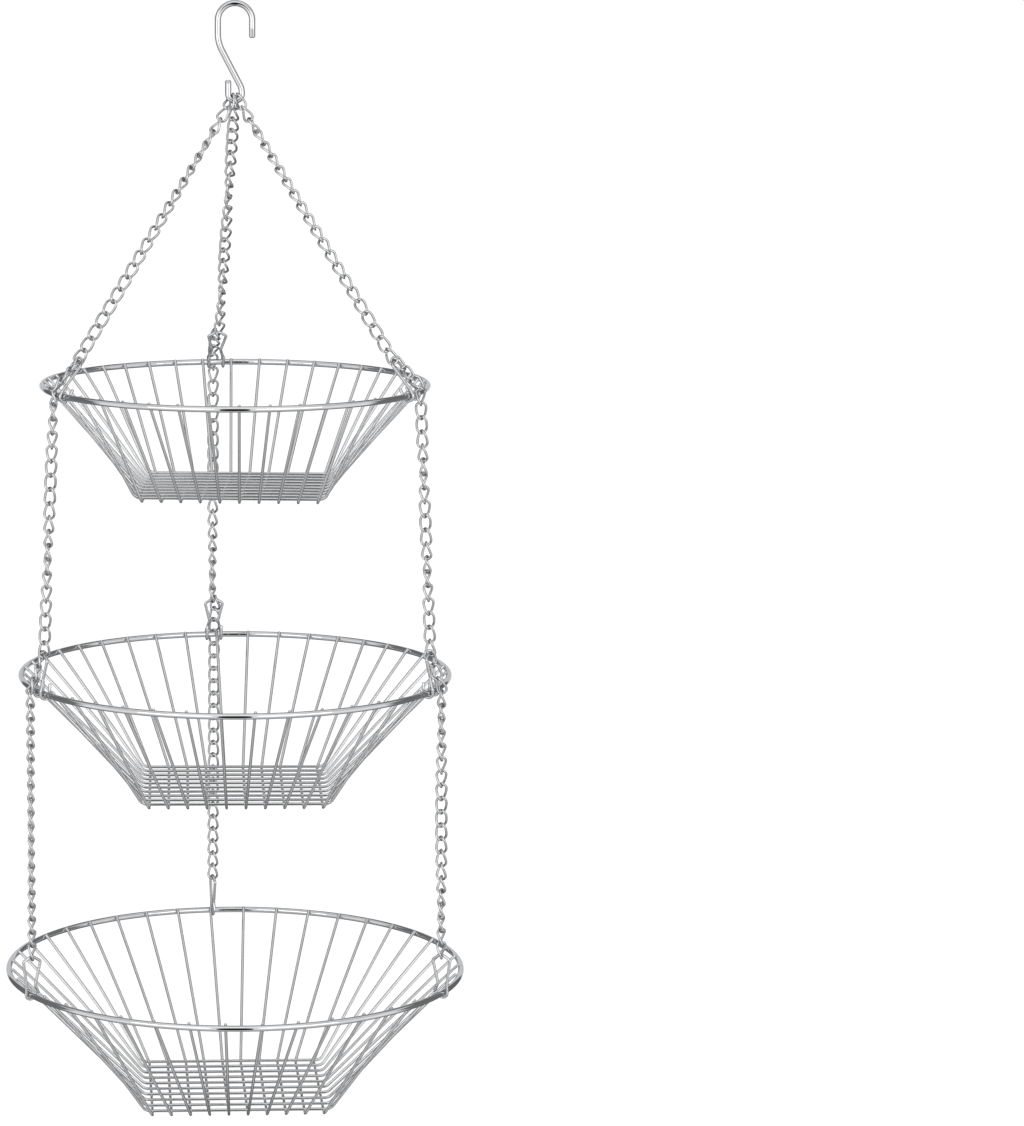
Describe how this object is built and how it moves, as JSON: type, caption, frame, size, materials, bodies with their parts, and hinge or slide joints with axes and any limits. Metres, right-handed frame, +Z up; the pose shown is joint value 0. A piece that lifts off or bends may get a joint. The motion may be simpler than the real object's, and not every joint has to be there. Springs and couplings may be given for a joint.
{
  "type": "hanging fruit basket",
  "caption": "Hanging wire fruit basket: round chromed baskets in tiers, widening downward, on chains from a hook.",
  "frame": {"origin": "inner top of the hook's arc, where it rests on its rail, on the unit's own vertical axis", "axes": "+Z up along the vertical axis, -Y toward the viewer in the picture, +X to the right in it; the hook lies in the XZ plane"},
  "size_m": [0.311, 0.3138, 0.7381],
  "materials": {
    "hook": "bright chrome plate",
    "first_links": "bright chrome plate",
    "upper_chain_left": "bright chrome plate",
    "upper_chain_right": "bright chrome plate",
    "upper_chain_back": "bright chrome plate",
    "top_rim": "bright chrome plate",
    "top_under_wires": "bright chrome plate",
    "top_over_wires": "bright chrome plate",
    "top_clip_left": "bright chrome plate",
    "top_clip_right": "bright chrome plate",
    "top_clip_back": "bright chrome plate",
    "top_over_chain_left": "bright chrome plate",
    "top_over_chain_right": "bright chrome plate",
    "top_over_chain_back": "bright chrome plate",
    "middle_swivel_left": "bright chrome plate",
    "middle_chain_left": "bright chrome plate",
    "middle_swivel_right": "bright chrome plate",
    "middle_chain_right": "bright chrome plate",
    "middle_swivel_back": "bright chrome plate",
    "middle_chain_back": "bright chrome plate",
    "middle_end_link": "bright chrome plate",
    "middle_rim": "bright chrome plate",
    "middle_under_wires": "bright chrome plate",
    "middle_over_wires": "bright chrome plate",
    "middle_clip_left": "bright chrome plate",
    "middle_clip_right": "bright chrome plate",
    "middle_clip_back": "bright chrome plate",
    "middle_over_chain_left": "bright chrome plate",
    "middle_over_chain_right": "bright chrome plate",
    "middle_over_chain_back": "bright chrome plate",
    "bottom_swivel_left": "bright chrome plate",
    "bottom_chain_left": "bright chrome plate",
    "bottom_swivel_right": "bright chrome plate",
    "bottom_chain_right": "bright chrome plate",
    "bottom_swivel_back": "bright chrome plate",
    "bottom_chain_back": "bright chrome plate",
    "bottom_end_link": "bright chrome plate",
    "bottom_rim": "bright chrome plate",
    "bottom_under_wires": "bright chrome plate",
    "bottom_over_wires": "bright chrome plate",
    "bottom_clip_left": "bright chrome plate",
    "bottom_clip_right": "bright chrome plate",
    "bottom_clip_back": "bright chrome plate"
  },
  "bodies": {
    "hook": {"hook": "hook"},
    "top_basket": {"first_links": "first_links", "upper_chain_left": "upper_chain_left", "upper_chain_right": "upper_chain_right", "upper_chain_back": "upper_chain_back", "top_rim": "top_rim", "top_under_wires": "top_under_wires", "top_over_wires": "top_over_wires", "top_clip_left": "top_clip_left", "top_clip_right": "top_clip_right", "top_clip_back": "top_clip_back", "top_over_chain_left": "top_over_chain_left", "top_over_chain_right": "top_over_chain_right", "top_over_chain_back": "top_over_chain_back"},
    "middle_left_swivel": {"middle_swivel_left": "middle_swivel_left"},
    "middle_left_chain": {"middle_chain_left": "middle_chain_left"},
    "middle_right_swivel": {"middle_swivel_right": "middle_swivel_right"},
    "middle_right_chain": {"middle_chain_right": "middle_chain_right"},
    "middle_back_swivel": {"middle_swivel_back": "middle_swivel_back"},
    "middle_back_chain": {"middle_chain_back": "middle_chain_back"},
    "middle_left_end": {"middle_end_link": "middle_end_link"},
    "middle_basket": {"middle_rim": "middle_rim", "middle_under_wires": "middle_under_wires", "middle_over_wires": "middle_over_wires", "middle_clip_left": "middle_clip_left", "middle_clip_right": "middle_clip_right", "middle_clip_back": "middle_clip_back", "middle_over_chain_left": "middle_over_chain_left", "middle_over_chain_right": "middle_over_chain_right", "middle_over_chain_back": "middle_over_chain_back"},
    "bottom_left_swivel": {"bottom_swivel_left": "bottom_swivel_left"},
    "bottom_left_chain": {"bottom_chain_left": "bottom_chain_left"},
    "bottom_right_swivel": {"bottom_swivel_right": "bottom_swivel_right"},
    "bottom_right_chain": {"bottom_chain_right": "bottom_chain_right"},
    "bottom_back_swivel": {"bottom_swivel_back": "bottom_swivel_back"},
    "bottom_back_chain": {"bottom_chain_back": "bottom_chain_back"},
    "bottom_left_end": {"bottom_end_link": "bottom_end_link"},
    "bottom_basket": {"bottom_rim": "bottom_rim", "bottom_under_wires": "bottom_under_wires", "bottom_over_wires": "bottom_over_wires", "bottom_clip_left": "bottom_clip_left", "bottom_clip_right": "bottom_clip_right", "bottom_clip_back": "bottom_clip_back"}
  },
  "joints": [
    {"name": "eye_swing", "type": "hinge", "parent": "hook", "child": "top_basket", "pos_m": [0, 0, -0.06145], "axis": [1, 0, 0], "range_deg": [-12, 12]},
    {"name": "middle_left_front_swing", "type": "hinge", "parent": "top_basket", "child": "middle_left_swivel", "pos_m": [-0.11738, -0.06366, -0.24512], "axis": [1, 0, 0], "range_deg": [-8, 8]},
    {"name": "middle_right_front_swing", "type": "hinge", "parent": "top_basket", "child": "middle_right_swivel", "pos_m": [0.1205, -0.05755, -0.24512], "axis": [1, 0, 0], "range_deg": [-8, 8]},
    {"name": "middle_back_front_swing", "type": "hinge", "parent": "top_basket", "child": "middle_back_swivel", "pos_m": [-0.01505, 0.13268, -0.24512], "axis": [1, 0, 0], "range_deg": [-8, 8]},
    {"name": "middle_left_side_swing", "type": "hinge", "parent": "middle_left_swivel", "child": "middle_left_chain", "pos_m": [-0.11779, -0.06387, -0.25432], "axis": [0, 1, 0], "range_deg": [-8, 8]},
    {"name": "middle_right_side_swing", "type": "hinge", "parent": "middle_right_swivel", "child": "middle_right_chain", "pos_m": [0.12091, -0.05775, -0.25432], "axis": [0, 1, 0], "range_deg": [-8, 8]},
    {"name": "middle_back_side_swing", "type": "hinge", "parent": "middle_back_swivel", "child": "middle_back_chain", "pos_m": [-0.0151, 0.13314, -0.25432], "axis": [0, 1, 0], "range_deg": [-8, 8]},
    {"name": "middle_end_turn", "type": "hinge", "parent": "middle_left_chain", "child": "middle_left_end", "pos_m": [-0.12462, -0.0675, -0.41074], "axis": [0, 1, 0], "range_deg": [-8, 8]},
    {"name": "middle_basket_turn", "type": "hinge", "parent": "middle_left_end", "child": "middle_basket", "pos_m": [-0.12502, -0.06772, -0.41994], "axis": [1, 0, 0], "range_deg": [-8, 8]},
    {"name": "bottom_left_front_swing", "type": "hinge", "parent": "middle_basket", "child": "bottom_left_swivel", "pos_m": [-0.13408, -0.07005, -0.44354], "axis": [1, 0, 0], "range_deg": [-8, 8]},
    {"name": "bottom_right_front_swing", "type": "hinge", "parent": "middle_basket", "child": "bottom_right_swivel", "pos_m": [0.13548, -0.0673, -0.44354], "axis": [1, 0, 0], "range_deg": [-8, 8]},
    {"name": "bottom_back_front_swing", "type": "hinge", "parent": "middle_basket", "child": "bottom_back_swivel", "pos_m": [-0.01472, 0.15056, -0.44354], "axis": [1, 0, 0], "range_deg": [-8, 8]},
    {"name": "bottom_left_side_swing", "type": "hinge", "parent": "bottom_left_swivel", "child": "bottom_left_chain", "pos_m": [-0.13409, -0.07012, -0.45249], "axis": [0, 1, 0], "range_deg": [-8, 8]},
    {"name": "bottom_right_side_swing", "type": "hinge", "parent": "bottom_right_swivel", "child": "bottom_right_chain", "pos_m": [0.13554, -0.06727, -0.45249], "axis": [0, 1, 0], "range_deg": [-8, 8]},
    {"name": "bottom_back_side_swing", "type": "hinge", "parent": "bottom_back_swivel", "child": "bottom_back_chain", "pos_m": [-0.01478, 0.1506, -0.45249], "axis": [0, 1, 0], "range_deg": [-8, 8]},
    {"name": "bottom_end_turn", "type": "hinge", "parent": "bottom_left_chain", "child": "bottom_left_end", "pos_m": [-0.1343, -0.07135, -0.61363], "axis": [0, 1, 0], "range_deg": [-8, 8]},
    {"name": "bottom_basket_turn", "type": "hinge", "parent": "bottom_left_end", "child": "bottom_basket", "pos_m": [-0.13431, -0.07142, -0.62259], "axis": [1, 0, 0], "range_deg": [-8, 8]}
  ],
  "couplings": [
    {"joint": "middle_right_front_swing", "follows": "middle_left_front_swing", "ratio": 1},
    {"joint": "middle_right_side_swing", "follows": "middle_left_side_swing", "ratio": 0.94444},
    {"joint": "middle_back_front_swing", "follows": "middle_left_front_swing", "ratio": 1},
    {"joint": "middle_back_side_swing", "follows": "middle_left_side_swing", "ratio": 0.94444},
    {"joint": "middle_end_turn", "follows": "middle_left_side_swing", "ratio": -0.94541},
    {"joint": "middle_basket_turn", "follows": "middle_left_front_swing", "ratio": -0.93919},
    {"joint": "bottom_right_front_swing", "follows": "bottom_left_front_swing", "ratio": 1},
    {"joint": "bottom_right_side_swing", "follows": "bottom_left_side_swing", "ratio": 0.94737},
    {"joint": "bottom_back_front_swing", "follows": "bottom_left_front_swing", "ratio": 1},
    {"joint": "bottom_back_side_swing", "follows": "bottom_left_side_swing", "ratio": 0.94737},
    {"joint": "bottom_end_turn", "follows": "bottom_left_side_swing", "ratio": -0.99512},
    {"joint": "bottom_basket_turn", "follows": "bottom_left_front_swing", "ratio": -0.99448}
  ]
}
